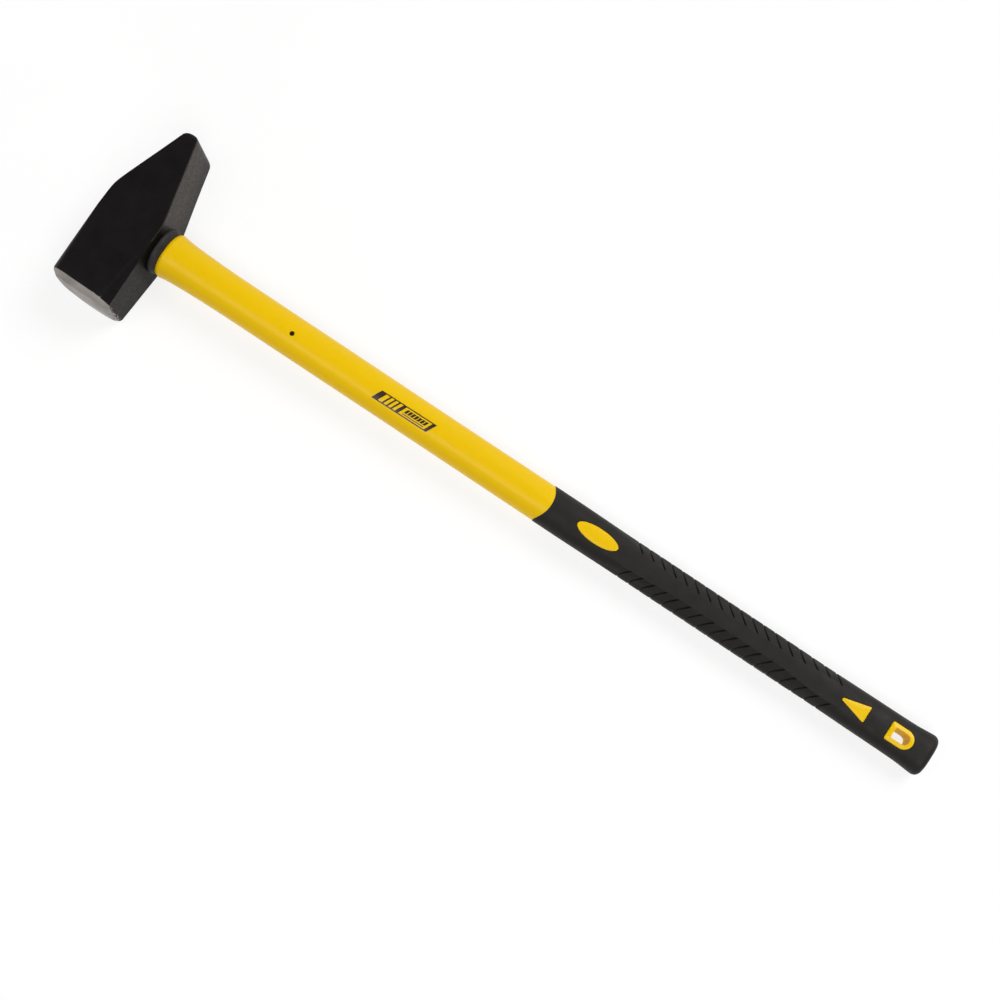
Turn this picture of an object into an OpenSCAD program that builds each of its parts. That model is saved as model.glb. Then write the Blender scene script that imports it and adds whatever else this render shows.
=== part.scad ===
// Cross-peen sledgehammer with a bonded fibreglass handle, lying on its cheek.
// Origin: on the lower cheek plane, straight below the middle of the eye.
// +X runs along the handle to the grip end, +Y to the peen, +Z out of the upper cheek.

/* [Head] */
// Overall length along the handle, from the top of the head to the grip end
overall_len = 900; // [860:10:1000]
// Width and height of the square head section
head_w = 64; // [56:1:72]
// Distance from the eye centre to the striking face
face_len = 80; // [70:1:90]
// Distance from the eye centre to the tip of the peen
peen_len = 103; // [95:1:120]
// Distance from the eye centre to where the peen starts to taper
taper_start = 17; // [12:1:25]
// Radius of the peen's nose
peen_r = 9; // [5:0.5:11]
// Corner chamfer at the striking face
face_chamfer = 9; // [6:0.5:12]
// Bevel around the edge of the striking face
face_bevel = 4.5; // [2:0.5:6]
// Radius of the crowned striking face
crown_r = 250; // [100:10:600]

/* [Eye] */
// Eye length at its mouth under the head, measured towards the peen
eye_l = 40; // [38:1:44]
// Eye width at its mouth, measured across the cheeks
eye_w = 31; // [28:1:34]
// How much narrower the eye is at its waist than at its mouth
eye_waist = 4; // [2:0.5:6]
// Depth of the resin's surface below the top of the head
resin_sink = 1; // [0.5:0.5:3]
// Depth of the collar's spigot inside the eye
spigot_len = 5.5; // [3:0.5:8]
// Thickness of the collar's flange between head and jacket
collar_t = 8; // [4:0.5:9]

/* [Handle] */
// Width of the shaft at mid length
shaft_w = 37.6; // [36:0.2:40]
// Thickness of the shaft at mid length
shaft_t = 28.8; // [27:0.2:32]
// How much wider the jacket is at its lip, next to the collar
lip_flare = 8; // [4:0.5:10]
// Width of the fibreglass rod
core_w = 28; // [24:1:30]
// Thickness of the fibreglass rod
core_t = 18.5; // [16:0.5:20]
// Diameter of the locating-pin holes in the jacket
pin_hole_d = 4.5; // [3:0.5:5]
// Distance of the locating-pin holes from the eye centre
pin_hole_x = 185.5; // [150:0.5:250]

/* [Grip] */
// Distance from the eye centre to the side edges of the grip
grip_start = 464; // [440:1:500]
// How much later the grip starts on the flat sides than on the edges
grip_bow = 8; // [0:0.5:12]
// Width of the jacket under the rubber
inner_w = 32; // [31:0.2:33]
// Thickness of the jacket under the rubber
inner_t = 23; // [22.5:0.1:24]
// Thickness of the rubber over the end of the jacket
end_cap_t = 4.5; // [3:0.5:6]
// Gap between a raised jacket mark and the rubber around it
mark_gap = 0.4; // [0.2:0.1:0.6]

/* [Hanging hole] */
// Distance from the grip end to the flat side of the ring
ring_back = 43.5; // [42:0.5:50]
// Outer radius of the ring's round side
ring_r = 9; // [8:0.5:10]
// Radius of the hole's round side
hole_r = 5; // [4:0.25:6]
// Width of the ring's flat side
ring_rim = 4.7; // [3.5:0.1:5.5]

/* [Label] */
// Distance from the eye centre to the middle of the label
label_x = 313; // [280:1:340]
// Length of the label
label_l = 60; // [50:1:70]
// Height of the label around the shaft
label_h = 10.5; // [8:0.5:12]
// Slant of the label's ends
label_slant = 5.5; // [0:0.5:8]
// Offset of the label from the middle of the shaft
label_y = -2.6; // [-4:0.1:0]
// Turn of the label on the shaft, in degrees
label_turn = 0.75; // [0:0.25:3]
// Thickness of the label film
label_t = 0.3; // [0.25:0.05:0.4]

/* [Hidden] */

half_w = head_w / 2;
axis_z = half_w;
end_x = overall_len - half_w;
jacket_x = half_w + collar_t;
spigot_x = half_w - spigot_len;
core_end = end_x - ring_back - 22;
ring_x = end_x - ring_back;
ring_run = ring_r + 6.2;
far = 2 * head_w;
flat_half = half_w - face_bevel;
face_sag = crown_r - sqrt(pow(crown_r, 2) - pow(flat_half, 2));

ring_sides = 40;
squareness = 0.92;

// Sections along the handle: [position, width, thickness, bow on the flat sides]
shaft_sections = [
  [jacket_x, shaft_w + lip_flare - 4.5, shaft_t + lip_flare - 4.5, 0],
  [jacket_x + 1.2, shaft_w + lip_flare - 1.2, shaft_t + lip_flare - 1.4, 0],
  [jacket_x + 4, shaft_w + lip_flare, shaft_t + lip_flare - 0.6, 0],
  [jacket_x + 8, shaft_w + 6.6, shaft_t + 6, 0],
  [jacket_x + 18.5, shaft_w + 4.6, shaft_t + 4.1, 0],
  [jacket_x + 36.5, shaft_w + 3, shaft_t + 2.4, 0],
  [jacket_x + 56.5, shaft_w + 1.8, shaft_t + 1.3, 0],
  [jacket_x + 78.5, shaft_w + 1.1, shaft_t + 0.9, 0],
  [pin_hole_x, shaft_w + 0.7, shaft_t + 0.5, 0],
  [grip_start - 146, shaft_w, shaft_t, 0],
  [grip_start, shaft_w - 0.4, shaft_t - 0.3, grip_bow],
  [grip_start + 1, inner_w, inner_t, grip_bow],
  [grip_start + 30, inner_w, inner_t, 0],
  [end_x - 100, inner_w, inner_t, 0],
  [end_x - 20, inner_w + 1.5, inner_t + 1, 0],
  [end_x - end_cap_t - 2, inner_w + 2, inner_t + 1.5, 0],
  [end_x - end_cap_t, inner_w - 2, inner_t - 2.5, 0]
];
grip_sections = [
  [grip_start, shaft_w + 0.4, shaft_t + 0.3, grip_bow],
  [grip_start + 20, shaft_w + 0.4, shaft_t + 0.4, grip_bow / 2],
  [grip_start + 67, shaft_w - 0.3, shaft_t, 0],
  [grip_start + 130, shaft_w - 0.8, shaft_t - 0.2, 0],
  [end_x - 186, shaft_w - 1.2, shaft_t - 0.4, 0],
  [end_x - 100, shaft_w - 1.5, shaft_t - 0.5, 0],
  [end_x - 66, shaft_w - 1.1, shaft_t - 0.3, 0],
  [end_x - 40, shaft_w - 0.9, shaft_t - 0.3, 0],
  [end_x - 24, shaft_w - 0.4, shaft_t, 0],
  [end_x - 16, shaft_w + 0.6, shaft_t + 0.6, 0],
  [end_x - 10, shaft_w + 1.7, shaft_t + 1.3, 0],
  [end_x - 3.5, shaft_w + 2.2, shaft_t + 1.6, 0],
  [end_x - 1, shaft_w + 0.4, shaft_t - 0.2, 0],
  [end_x, shaft_w - 3, shaft_t - 3.6, 0]
];
eye_sections = [
  [-half_w - 1, eye_l + 2, eye_w + 1, 0],
  [-4, eye_l - eye_waist, eye_w - eye_waist, 0],
  [half_w + 1, eye_l, eye_w, 0]
];
core_sections = [
  [-half_w + resin_sink, core_w, core_t, 0],
  [core_end, core_w, core_t, 0]
];
flange_sections = [
  [half_w, eye_l + 4.5, eye_w + 8.5, 0],
  [half_w + 1.5, eye_l + 7.5, eye_w + 11.5, 0],
  [half_w + 0.5 * collar_t, eye_l + 7, eye_w + 10.5, 0],
  [jacket_x, eye_l + 2, eye_w + 3.5, 0]
];

// Power of a sine or cosine that keeps its sign, for a slightly squared oval
function signed_power(value) = sign(value) * pow(abs(value), squareness);

// Points of one oval section [position, width, thickness, bow], made larger all round by grow
function oval(section, grow = 0) = [
  for (i = [0 : ring_sides - 1])
    let (angle = 360 * i / ring_sides)
      [
        section[0] + section[3] * pow(sin(angle), 2),
        (section[1] / 2 + grow) * signed_power(cos(angle)),
        axis_z + (section[2] / 2 + grow) * signed_power(sin(angle))
      ]
];

// Solid through a list of oval sections
module oval_loft(sections, grow = 0) {
  last = len(sections) - 1;
  points = [for (section = sections) each oval(section, grow)];
  start_cap = [for (i = [0 : ring_sides - 1]) i];
  end_cap = [for (i = [ring_sides - 1 : -1 : 0]) last * ring_sides + i];
  sides = [
    for (row = [0 : last - 1], i = [0 : ring_sides - 1])
      let (
        a = row * ring_sides + i,
        b = row * ring_sides + (i + 1) % ring_sides,
        c = a + ring_sides,
        d = b + ring_sides
      )
        each [[a, c, b], [b, c, d]]
  ];
  polyhedron(points, concat([start_cap], sides, [end_cap]), convexity = 4);
}

// Slab across the whole handle between two positions
module slab(from, to) {
  translate([from, -far, -far]) cube([to - from, 2 * far, 2 * far]);
}

// Outline of the oval mark, made larger all round by grow
module oval_mark(grow = 0) {
  centre = [grip_start + 58, 0];
  long = 21.4 + grow;
  short = 7.4 + grow;
  polygon([for (a = [0 : 10 : 350]) centre + [long * cos(a), short * sin(a)]]);
}

// Outline of the triangular mark, which points towards the head
module triangle_mark(grow = 0) {
  base_x = end_x - 65;
  tall = 26.2;
  half_base = 7.7;
  inner_r = tall * half_base / (half_base + norm([tall, half_base]));
  k = 1 + grow / inner_r;
  centre = [base_x - inner_r, 0];
  polygon([centre + k * [inner_r - tall, 0], centre + k * [inner_r, half_base], centre + k * [inner_r, -half_base]]);
}

// D-shaped outline whose flat side faces the head
module d_outline(flat_x, r) {
  centre = [ring_x + ring_run, 0];
  arc_points = [for (a = [-90 : 10 : 90]) centre + r * [cos(a), sin(a)]];
  polygon(concat([[flat_x, r], [flat_x, -r]], arc_points));
}

// All raised marks of the jacket, made larger all round by grow
module mark_outlines(grow = 0) {
  oval_mark(grow);
  triangle_mark(grow);
  d_outline(ring_x - grow, ring_r + grow);
}

// Prism through the whole handle from the outlines given as children
module through_handle() {
  translate([0, 0, -far]) linear_extrude(2 * far + head_w) children();
}

// Plan outline of the head: square body, tapered peen and round nose
module head_outline() {
  nose_y = peen_len - peen_r;
  taper = atan2(half_w - peen_r, nose_y - taper_start);
  nose = [for (a = [taper : (180 - 2 * taper) / 14 : 180 - taper]) [peen_r * cos(a), nose_y + peen_r * sin(a)]];
  polygon(concat([[-half_w, -face_len], [half_w, -face_len], [half_w, taper_start]], nose, [[-half_w, taper_start]]));
}

// Cuts that turn the square body into an octagon towards the striking face
module corner_cuts() {
  corner_r = half_w * sqrt(2);
  tilt = atan2(face_chamfer / sqrt(2), face_len + 8);
  for (k = [0 : 3])
    translate([0, 0, axis_z]) rotate([0, 45 + 90 * k, 0])
      translate([corner_r, 8, 0]) rotate([0, 0, -tilt])
        translate([0, -2 * face_len, -far / 2]) cube([far, 2 * face_len, far]);
}

// Bevel cuts around the octagonal edge of the striking face
module face_cuts() {
  corner_r = half_w * sqrt(2) - face_chamfer / sqrt(2) - face_bevel;
  for (k = [0 : 7])
    translate([0, 0, axis_z]) rotate([0, 45 * k, 0])
      translate([k % 2 == 0 ? flat_half : corner_r, face_sag - face_len, 0]) rotate([0, 0, -45])
        translate([0, -far, -far / 2]) cube([far, 2 * far, far]);
}

module head() {
  color([0.1, 0.095, 0.095])
    intersection() {
      difference() {
        linear_extrude(head_w) head_outline();
        corner_cuts();
        face_cuts();
        oval_loft(eye_sections);
      }
      translate([0, crown_r - face_len, axis_z]) sphere(crown_r, $fn = 96);
    }
}

module eye_collar() {
  color([0.08, 0.08, 0.08])
    difference() {
      union() {
        oval_loft(flange_sections);
        intersection() {
          oval_loft(eye_sections);
          slab(spigot_x, half_w);
        }
      }
      oval_loft(core_sections);
    }
}

module eye_resin() {
  color([0.35, 0.3, 0.16])
    difference() {
      intersection() {
        oval_loft(eye_sections);
        slab(-half_w + resin_sink, spigot_x);
      }
      translate([-1, 0, 0]) oval_loft(core_sections);
    }
}

module fibreglass_core() {
  color([0.85, 0.8, 0.6]) oval_loft(core_sections);
}

module handle_jacket() {
  color([0.93, 0.77, 0.04])
    difference() {
      union() {
        oval_loft(shaft_sections);
        intersection() {
          oval_loft(grip_sections);
          through_handle() mark_outlines();
        }
      }
      oval_loft(core_sections);
      through_handle() d_outline(ring_x + ring_rim, hole_r);
      translate([pin_hole_x, 0, -far]) cylinder(h = 3 * far, d = pin_hole_d, $fn = 32);
    }
}

module grip_sleeve() {
  color([0.17, 0.165, 0.16])
    difference() {
      oval_loft(grip_sections);
      oval_loft(shaft_sections);
      through_handle() mark_outlines(mark_gap);
    }
}

module shaft_decal() {
  half_l = label_l / 2;
  half_h = label_h / 2;
  corner = label_slant / 2;
  color([0.12, 0.08, 0.05])
    intersection() {
      difference() {
        oval_loft(shaft_sections, label_t);
        oval_loft(shaft_sections);
      }
      translate([label_x, label_y, axis_z]) rotate([0, 0, label_turn]) linear_extrude(far)
        polygon([
          [-half_l - corner, -half_h],
          [half_l - corner, -half_h],
          [half_l + corner, half_h],
          [-half_l + corner, half_h]
        ]);
    }
}

head();
eye_collar();
eye_resin();
fibreglass_core();
handle_jacket();
grip_sleeve();
shaft_decal();
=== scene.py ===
import math

import bmesh
import bpy
import numpy as np
from mathutils import Matrix, Vector


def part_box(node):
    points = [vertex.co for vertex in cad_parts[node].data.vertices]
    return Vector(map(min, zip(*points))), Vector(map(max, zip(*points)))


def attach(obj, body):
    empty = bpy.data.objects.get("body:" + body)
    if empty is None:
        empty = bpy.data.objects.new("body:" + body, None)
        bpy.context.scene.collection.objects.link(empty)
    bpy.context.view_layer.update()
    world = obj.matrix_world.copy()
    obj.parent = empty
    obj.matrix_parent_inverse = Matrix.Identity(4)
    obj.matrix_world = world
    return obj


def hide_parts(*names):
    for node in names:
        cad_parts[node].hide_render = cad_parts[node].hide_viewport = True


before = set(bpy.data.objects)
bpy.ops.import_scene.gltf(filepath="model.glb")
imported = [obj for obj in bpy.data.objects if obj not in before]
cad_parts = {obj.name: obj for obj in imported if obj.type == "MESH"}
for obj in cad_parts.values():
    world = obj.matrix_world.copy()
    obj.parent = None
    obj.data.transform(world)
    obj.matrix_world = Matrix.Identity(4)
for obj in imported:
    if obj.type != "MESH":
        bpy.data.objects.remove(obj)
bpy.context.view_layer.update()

MM = 0.001


# ---- sizes taken from the frame

def box_mm(node):
    """Lowest and highest corner of a CAD node, in millimetres."""
    return [np.array(corner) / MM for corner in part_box(node)]


head_lo, head_hi = box_mm("head")
collar_lo, collar_hi = box_mm("eye_collar")
core_lo, core_hi = box_mm("fibreglass_core")
jacket_lo = box_mm("handle_jacket")[0]
grip_lo, grip_hi = box_mm("grip_sleeve")
label_lo, label_hi = box_mm("shaft_decal")

HALF_W = head_hi[0]
AXIS_Z = (head_lo[2] + head_hi[2]) / 2
HALF_H = (head_hi[2] - head_lo[2]) / 2
FACE_Y = head_lo[1]
NOSE_Y = head_hi[1]
LIP_X = jacket_lo[0]
GRIP_X = grip_lo[0]
END_X = grip_hi[0]
CORE_W = core_hi[1] - core_lo[1]
CORE_T = core_hi[2] - core_lo[2]

# ---- design sizes in millimetres

SQUARENESS = 0.92          # power of the sine and cosine in an oval section
SHAFT_W, SHAFT_T = 37.6, 28.8    # width and thickness of the handle in its middle
GRIP_BOW = 8.0             # how much later the grip starts on the flat sides
BOW_END = 60               # distance from the grip's start at which its rings are straight again
RUBBER_INNER = (30.6, 21.4)    # width and thickness of the jacket under the rubber
UNDER_X = GRIP_X + 0.8     # where that part of the jacket starts
END_CAP = 4.5              # rubber over the jacket's end
MARK_GAP = 0.4             # gap between a raised mark and the rubber around it

# Handle sections: position, and how much wider and thicker than in the middle
SHAFT = [
    (LIP_X + 4, 8, 7.4),
    (LIP_X + 8, 6.6, 6),
    (LIP_X + 18.5, 4.6, 4.1),
    (LIP_X + 36.5, 3, 2.4),
    (LIP_X + 56.5, 1.8, 1.3),
    (LIP_X + 78.5, 1.1, 0.9),
    (LIP_X + 145.5, 0.7, 0.5),
    (GRIP_X - 146, 0, 0),
    (GRIP_X + 10, -0.4, -0.3),
]
GRIP = [
    (GRIP_X, 0.4, 0.3),
    (GRIP_X + 20, 0.4, 0.4),
    (GRIP_X + 67, -0.3, 0),
    (GRIP_X + 130, -0.8, -0.2),
    (END_X - 186, -1.2, -0.4),
    (END_X - 100, -1.5, -0.5),
    (END_X - 66, -1.1, -0.3),
    (END_X - 40, -0.9, -0.3),
    (END_X - 24, -0.4, 0),
    (END_X - 16, 0.6, 0.6),
    (END_X - 10, 1.7, 1.3),
    (END_X - 4, 2.2, 1.6),
]
LIP_ROUND = 4.0            # length of the rounding at the jacket's lip
LIP_DROP = 2.2             # how far the lip's rounding falls in
END_ROUND = 6.0            # radius of the grip end's edge

# Locating-pin holes of the jacket
PIN_X, PIN_R = LIP_X + 145.5, 2.25
PIN_FLOOR = 0.4            # jacket left between a pin hole and the rod
PIN_SURFACE = SHAFT_T / 2 + 0.2    # height of the jacket's skin there above the axis

# Raised marks of the jacket
OVAL_X, OVAL_L, OVAL_W = GRIP_X + 58, 42.8, 14.8
TRIANGLE_BASE_X, TRIANGLE_L, TRIANGLE_W = END_X - 65, 26.2, 15.4
TRIANGLE_TIP_R, TRIANGLE_BASE_R = 1.5, 0.9
RING_X = END_X - 43.5      # flat side of the D ring
RING_R, RING_RUN = 9.0, 15.2    # radius of its round end, and distance from there to the flat side
HOLE_R, RING_RIM = 5.0, 4.7
RING_PROUD = 0.5           # how far it stands above the grip
RING_CORNER, HOLE_CORNER = 1.7, 1.4
MARK_SOFT, RING_SOFT = 0.45, 0.7    # radius of the upper edges
MARK_FLOOR = 7.0           # height above the axis where a mark starts, inside the jacket
THROUGH = 20.0             # how far a tool that cuts through the handle sticks out

# Chevron grooves of the grip
GROOVE_FIRST_X = GRIP_X + 100.5
GROOVE_PITCH = 12.2
GROOVE_COUNT = 18
GROOVE_DEPTH = 1.5
GROOVE_STEEP, GROOVE_GENTLE = 0.9, 1.7    # width of a groove's two walls
GROOVE_SLANT = 0.95        # run towards the head for each millimetre away from the spine
SPINE_HALF = 6.5           # half-width of the smooth spine between the grooves
SPINE_WIDE = 9.6           # and beside the marks
SPINE_STEP = 0.55          # how far the spine stands above the panels beside it
SPINE_EDGE = 0.6           # width of that step
GROOVE_START = (0.1, 1.0)  # distances from the spine between which a groove gets its depth
GROOVE_FADE = ((4, 11, 0.3), (11, 18, 0.4))    # from, to, and the share of its depth that it loses
PANEL_DIP = 1.5            # how much flatter the panels are than the oval section
PANEL_RUN = 7.0            # distance from the spine over which the panels fall off
PANEL_END = (9, 17)        # distances between which the panels come back to the oval
QUARTER = 26.2             # length around a quarter of the grip's section
# Stretches of the grip that fade in, measured from its start, and fade out, measured from its end
NARROW_SPINE = ((80, 165), (150, 108))
SHEARED = ((26, 72), (88, 26))
RIDGED = ((60, 100), (118, 78))

# Head
TAPER_Y_HANDLE, TAPER_Y_TOP = 13.5, 22.2    # where the peen starts: towards the handle, and away
NOSE_X = 1.3               # the peen's nose sits slightly towards the handle
NOSE_R = 8.8               # radius of the peen's edge
NOSE_CORNER = 6.5          # rounding of the peen's two ends
SHOULDER_BLEND = 1.0       # softness of the change from the body to the peen
PEEN_DRAFT = 0.015         # how much the peen's handle side falls in per millimetre below the upper cheek
PEEN_DRAFT_Y = (25, 80)    # stretch over which that sets in
CHAMFER_LEGS = (7.0, 8.0)        # corner chamfers at the striking face: on the cheek and on the side
CHAMFER_LEGS_WIDE = (9.5, 11.0)  # the wider one, on the upper corner towards the handle
CHAMFER_END_Y = 8.0        # where the corner chamfers run out
CHAMFER_ROUND = 14.0       # radius between chamfer and cheek at the striking face
CREASE_ROUND = 0.7         # radius between chamfer and side there
FACE_BEVEL = 4.3           # depth of the ground bevel around the striking face
BEVEL_LEAN_X = -0.01       # change of the bevel's depth per millimetre towards the handle
BEVEL_LEAN_Z = 0.05        # and per millimetre towards the upper cheek
BEVEL_CORNER = 2.4         # how much deeper it is again at the lower corner towards the handle
BEVEL_CORNER_X = 0.4       # share of the half-width from which that corner's extra grows
BEVEL_CORNER_Z = 46.0      # height at which it has gone
BEVEL_LEAN_FADE = 18.0     # length over which the body evens that out
RIM_SOFT, BODY_SOFT = 0.9, 2.2    # softness of the bevel's edges at the face and at the body
BEVEL_RUN = 1.04           # how far the bevel reaches over the face for each millimetre of its depth
CROWN_R = 300.0            # radius of the crowned striking face
EDGE_R = 1.4               # rounding of the long edges of the peen
CHIP_REACH = 14.0          # distance from the striking face over which chips get rare and end
STEEL_REACH = 5.0          # how far behind the bevel bare steel can reach
PAINT_X, PAINT_SLOPE = 25.5, 0.13    # where the lacquered corner begins at the lower cheek, and its slant
EYE_CHAMFER = 1.2
# Double-tapered eye, as in the CAD model: position, width, thickness
EYE = [(-HALF_W - 1, 42, 32), (-4, 36, 27), (HALF_W + 1, 40, 31)]

# Label: centre, length, height, slant and turn of its print
LABEL_X = (label_lo[0] + label_hi[0]) / 2
LABEL_Y = -2.6
LABEL_L, LABEL_H, LABEL_SLANT = 60.0, 10.5, 5.4
LABEL_TURN = math.radians(0.75)
FILM_SHARES = (-0.02, 1.02, -0.1, 1.1)    # the film's edges in shares of the print's length and height
FILM_LAYER = (-0.1, 0.10)  # its lower and upper skin above the shaft
PRINT_LAYER = (0.06, 0.13)


# ---- curves and sections

def smooth_curve(stations):
    """Function of x that runs smoothly through rows of (x, value, ...) without overshooting."""
    table = np.array(stations, float)
    xs, ys = table[:, 0], table[:, 1:]
    step = np.diff(xs)[:, None]
    slope = np.diff(ys, axis=0) / step
    tangent = np.zeros_like(ys)
    tangent[0], tangent[-1] = slope[0], slope[-1]
    product, total = slope[:-1] * slope[1:], slope[:-1] + slope[1:]
    tangent[1:-1] = np.where(product > 0, 2 * product / np.where(total == 0, 1, total), 0)

    def value(x):
        x = np.clip(np.asarray(x, float), xs[0], xs[-1])
        i = np.clip(np.searchsorted(xs, x, side="right") - 1, 0, len(xs) - 2)
        h = step[i, 0]
        t = ((x - xs[i]) / h)[..., None]
        h = h[..., None]
        return (
            (2 * t**3 - 3 * t**2 + 1) * ys[i]
            + (t**3 - 2 * t**2 + t) * h * tangent[i]
            + (3 * t**2 - 2 * t**3) * ys[i + 1]
            + (t**3 - t**2) * h * tangent[i + 1]
        )

    return value


def smoothstep(low, high, x):
    """Smooth rise from 0 at low to 1 at high."""
    t = np.clip((np.asarray(x, float) - low) / (high - low), 0, 1)
    return t * t * (3 - 2 * t)


def handle_curve(stations):
    """Width and thickness along the handle, from rows of what they have over the middle's."""
    return smooth_curve([(x, SHAFT_W + wider, SHAFT_T + thicker) for x, wider, thicker in stations])


shaft_size = handle_curve(SHAFT)
grip_size = handle_curve(GRIP)
eye_size = smooth_curve(EYE)


def full_turn(count):
    """Angles of a number of equal steps around a circle."""
    return np.linspace(0, 2 * math.pi, count, endpoint=False)


def signed_power(value):
    """Power that shapes an oval section, with the sign kept."""
    return np.sign(value) * np.abs(value) ** SQUARENESS


RING_ANGLES = full_turn(128)


def oval_ring(x, width, thick, angles=RING_ANGLES, bow=0.0):
    """Points of an oval section. bow moves the points on the flat sides along the handle."""
    x = x + bow * np.sin(angles) ** 2
    y = width / 2 * signed_power(np.cos(angles))
    z = AXIS_Z + thick / 2 * signed_power(np.sin(angles))
    return np.stack(np.broadcast_arrays(x, y, z), axis=-1)


def surface_height(size, x, y):
    """Height above the handle's axis of the oval surface whose sizes are given, at x and y."""
    width, thick = np.moveaxis(size(x), -1, 0)
    inside = np.clip(1 - np.abs(2 * y / width) ** (2 / SQUARENESS), 0, 1)
    return thick / 2 * inside ** (SQUARENESS / 2)


# ---- mesh building

def add_object(name, data):
    """New object of the scene with its mesh, light or camera."""
    obj = bpy.data.objects.new(name, data)
    bpy.context.scene.collection.objects.link(obj)
    return obj


def new_object(name, points, faces, material=None):
    """Mesh object from points in millimetres."""
    mesh = bpy.data.meshes.new(name)
    mesh.from_pydata((np.asarray(points, float) * MM).tolist(), [], faces)
    tool = bmesh.new()
    tool.from_mesh(mesh)
    bmesh.ops.remove_doubles(tool, verts=tool.verts, dist=1e-7)
    bmesh.ops.recalc_face_normals(tool, faces=tool.faces)
    tool.to_mesh(mesh)
    tool.free()
    if material:
        mesh.materials.append(material)
    return add_object(name, mesh)


def loft(rings, closed=False):
    """Points and faces through rings of equal count. Open lofts are capped, closed ones join up."""
    rings = [np.asarray(ring, float) for ring in rings]
    count, last = len(rings[0]), len(rings)
    faces = []
    for row in range(last if closed else last - 1):
        low, high = row * count, (row + 1) % last * count
        for i in range(count):
            j = (i + 1) % count
            faces.append((low + i, low + j, high + j, high + i))
    if not closed:
        faces.append(tuple(range(count)))
        faces.append(tuple(range((last - 1) * count, last * count)))
    return np.concatenate(rings), faces


def grid_faces(columns, rows):
    """Faces of a grid whose points run along the rows first."""
    step = rows + 1
    corners = [i * step + j for i in range(columns) for j in range(rows)]
    return [(a, a + step, a + step + 1, a + 1) for a in corners]


def tool_from(rings, closed=False):
    """Solid through rings, to cut or join with."""
    return new_object("tool", *loft(rings, closed))


def cut(obj, tool, operation="DIFFERENCE"):
    """Applies a boolean with another object, which is then removed. The piece keeps one material."""
    modifier = obj.modifiers.new("cut", "BOOLEAN")
    modifier.operation = operation
    modifier.solver = "MANIFOLD"
    modifier.object = tool
    depsgraph = bpy.context.evaluated_depsgraph_get()
    result = bpy.data.meshes.new_from_object(obj.evaluated_get(depsgraph))
    obj.modifiers.clear()
    old = obj.data
    material = old.materials[0]
    for polygon in result.polygons:
        polygon.material_index = 0
    result.materials.clear()
    result.materials.append(material)
    obj.data = result
    bpy.data.meshes.remove(old)
    bpy.data.objects.remove(tool)


def show(obj, slot, *nodes, sharp=40):
    """Shades a finished piece, hangs it on the hammer and hides the CAD nodes that it stands for."""
    for polygon in obj.data.polygons:
        polygon.use_smooth = True
    obj.data.set_sharp_from_angle(angle=math.radians(sharp))
    weighted = obj.modifiers.new("flat faces", "WEIGHTED_NORMAL")
    weighted.keep_sharp = True
    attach(obj, "root")
    if nodes:
        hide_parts(*nodes)


def rounded_polygon(corners, radii):
    """Closed outline with each corner replaced by an arc of its own radius."""
    steps = 8
    corners = np.array(corners, float)
    points = []
    for i, radius in enumerate(radii):
        here = corners[i]
        back = corners[i - 1] - here
        ahead = corners[(i + 1) % len(corners)] - here
        back /= np.linalg.norm(back)
        ahead /= np.linalg.norm(ahead)
        half = math.acos(np.clip(back @ ahead, -1, 1)) / 2
        middle = back + ahead
        centre = here + middle / np.linalg.norm(middle) * radius / math.sin(half)
        start = here + back * radius / math.tan(half) - centre
        stop = here + ahead * radius / math.tan(half) - centre
        first = math.atan2(start[1], start[0])
        turn = (math.atan2(stop[1], stop[0]) - first + math.pi) % (2 * math.pi) - math.pi
        for k in range(steps + 1):
            angle = first + turn * k / steps
            points.append(centre + radius * np.array([math.cos(angle), math.sin(angle)]))
    return np.array(points)


def grow_outline(outline, distance):
    """Outline moved outwards along its normals. It runs anticlockwise."""
    tangent = np.roll(outline, -1, axis=0) - np.roll(outline, 1, axis=0)
    tangent /= np.linalg.norm(tangent, axis=1)[:, None]
    return outline + distance * np.stack([tangent[:, 1], -tangent[:, 0]], axis=1)


def oval_outline():
    """Outline of the raised oval."""
    angles = full_turn(72)
    return np.stack([OVAL_X + OVAL_L / 2 * np.cos(angles), OVAL_W / 2 * np.sin(angles)], axis=1)


def triangle_outline():
    """Outline of the raised triangle, whose tip points to the head."""
    base, half = TRIANGLE_BASE_X, TRIANGLE_W / 2 + 0.3
    slope = math.atan2(half, TRIANGLE_L)
    tip = base - TRIANGLE_L - TRIANGLE_TIP_R * (1 / math.sin(slope) - 1)
    radii = [TRIANGLE_TIP_R, TRIANGLE_BASE_R, TRIANGLE_BASE_R]
    return rounded_polygon([(tip, 0), (base, -half), (base, half)], radii)


def d_outline(flat_x, radius, corner):
    """Rectangle towards the head whose other end is a half circle."""
    far_x = RING_X + RING_RUN + radius
    corners = [(flat_x, radius), (flat_x, -radius), (far_x, -radius), (far_x, radius)]
    near_full = radius * 0.999
    return rounded_polygon(corners, [corner, corner, near_full, near_full])


def ring_outline():
    """Outer edge of the D ring."""
    return d_outline(RING_X, RING_R, RING_CORNER)


def hole_outline():
    """Hanging hole inside the D ring."""
    return d_outline(RING_X + RING_RIM, HOLE_R, HOLE_CORNER)


def at_height(outline, z):
    """Flat ring of an outline at one height or at a height for each point."""
    return np.column_stack([outline, np.broadcast_to(z, len(outline))])


def through_tool(outline):
    """Tool with a given outline that cuts right through the handle."""
    return tool_from([at_height(outline, z) for z in (-THROUGH, 2 * AXIS_Z + THROUGH)])


# ---- materials

def add_node(tree, kind, links=(), **values):
    """Node of a kind with its sockets set from values and linked from links."""
    node = tree.nodes.new("ShaderNode" + kind)
    for key, value in values.items():
        if key in node.inputs:
            node.inputs[key].default_value = value
        else:
            setattr(node, key, value)
    for socket, source in links:
        tree.links.new(source, node.inputs[socket])
    return node


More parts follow.
